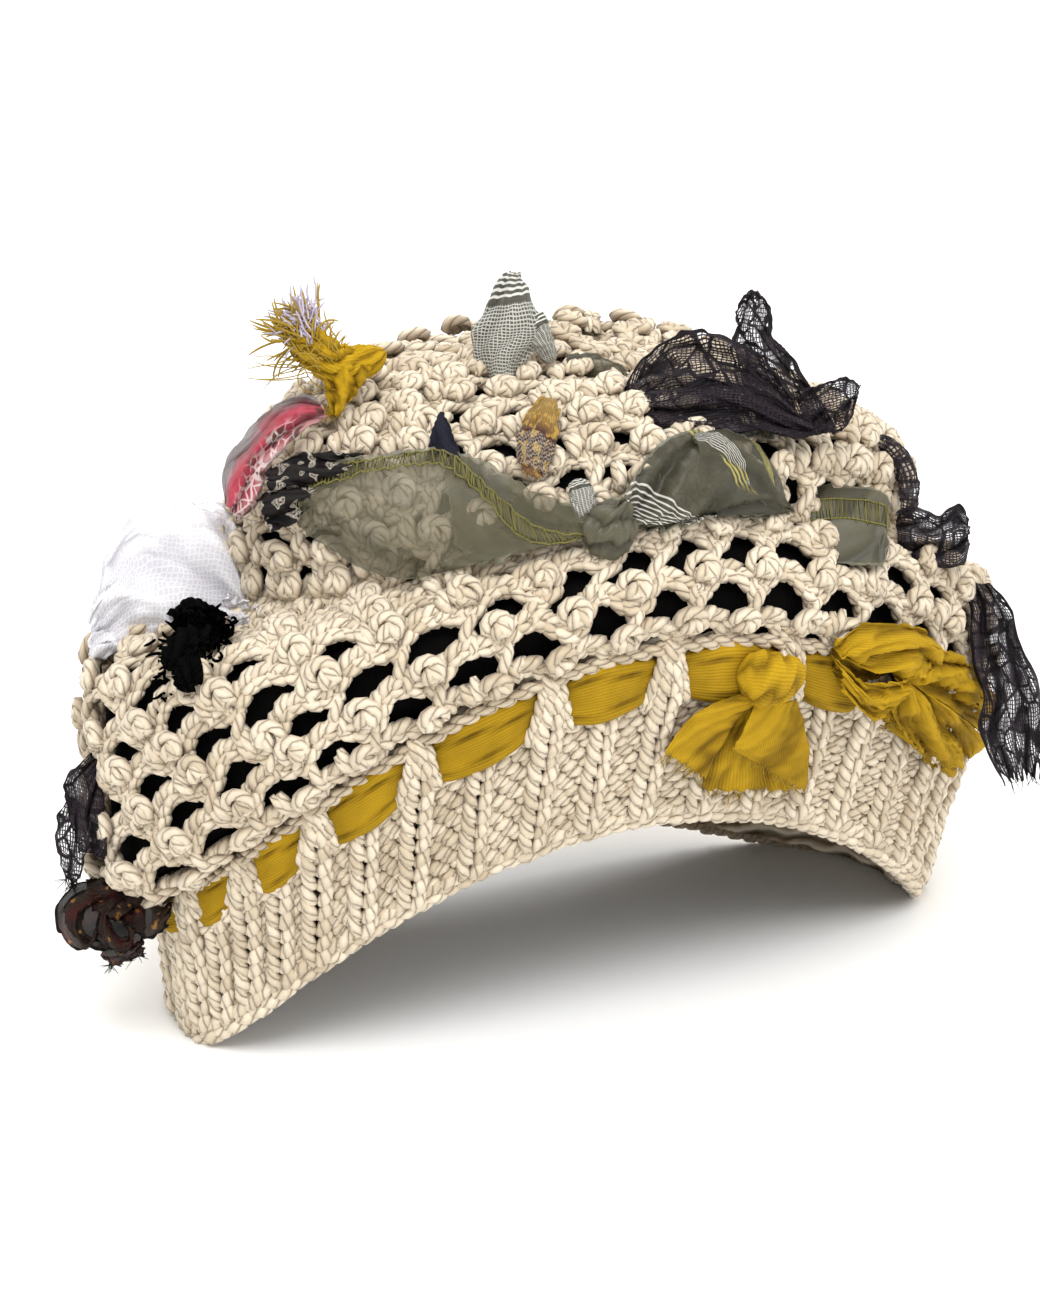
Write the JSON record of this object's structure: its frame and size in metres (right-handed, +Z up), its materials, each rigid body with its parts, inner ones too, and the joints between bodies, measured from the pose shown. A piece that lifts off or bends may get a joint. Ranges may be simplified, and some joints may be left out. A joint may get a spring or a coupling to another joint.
{
  "type": "crochet cap",
  "caption": "Slouchy two-tier cap of thick cream yarn with a ribbed band, a threaded ribbon and strips of cloth, lace and tulle tied on, lying on its rim.",
  "frame": {"origin": "on the surface the cap lies on, under the middle of its box", "axes": "+X from the left rim corner to the right one, -Y towards the front, +Z up"},
  "size_m": [0.2927, 0.1471, 0.2074],
  "materials": {
    "yarn": "thick plied cream wool yarn, soft and slightly fuzzy",
    "lining": "plain black jersey",
    "mustard_cloth": "fine ribbed mustard viscose with torn edges",
    "organza": "sheer olive-grey organza with an overlocked hem",
    "striped_cloth": "grey sheer cloth with white woven stripes",
    "dark_lace": "aubergine-black machine lace",
    "white_tulle": "soft white tulle net",
    "pink_chiffon": "printed chiffon in rose, grey and white",
    "print_cloth": "sheer black cloth with off-white flecks",
    "navy_cloth": "dark navy fine cloth",
    "woven_strip": "gold, brown and white woven strip"
  },
  "bodies": {
    "root": {"rib_band": "yarn", "crown_net": "yarn", "lining": "lining", "band_ribbon": "mustard_cloth", "ribbon_knot": "mustard_cloth", "ribbon_tail_left": "mustard_cloth", "ribbon_tail_right": "mustard_cloth", "mustard_rosette": "mustard_cloth", "mustard_twist": "mustard_cloth", "organza_knot": "organza", "organza_tail": "organza", "organza_loop": "organza", "organza_strap": "organza", "olive_strip_back": "organza", "olive_peek": "organza", "striped_tip": "striped_cloth", "lace_bow": "dark_lace", "lace_loop_back": "dark_lace", "lace_puff": "dark_lace", "lace_strip": "dark_lace", "black_tuft": "dark_lace", "dark_rosette": "dark_lace", "lace_left": "dark_lace", "tulle_puff": "white_tulle", "pink_chiffon": "pink_chiffon", "print_knot": "print_cloth", "navy_tip": "navy_cloth", "gold_strip": "woven_strip"}
  },
  "joints": []
}
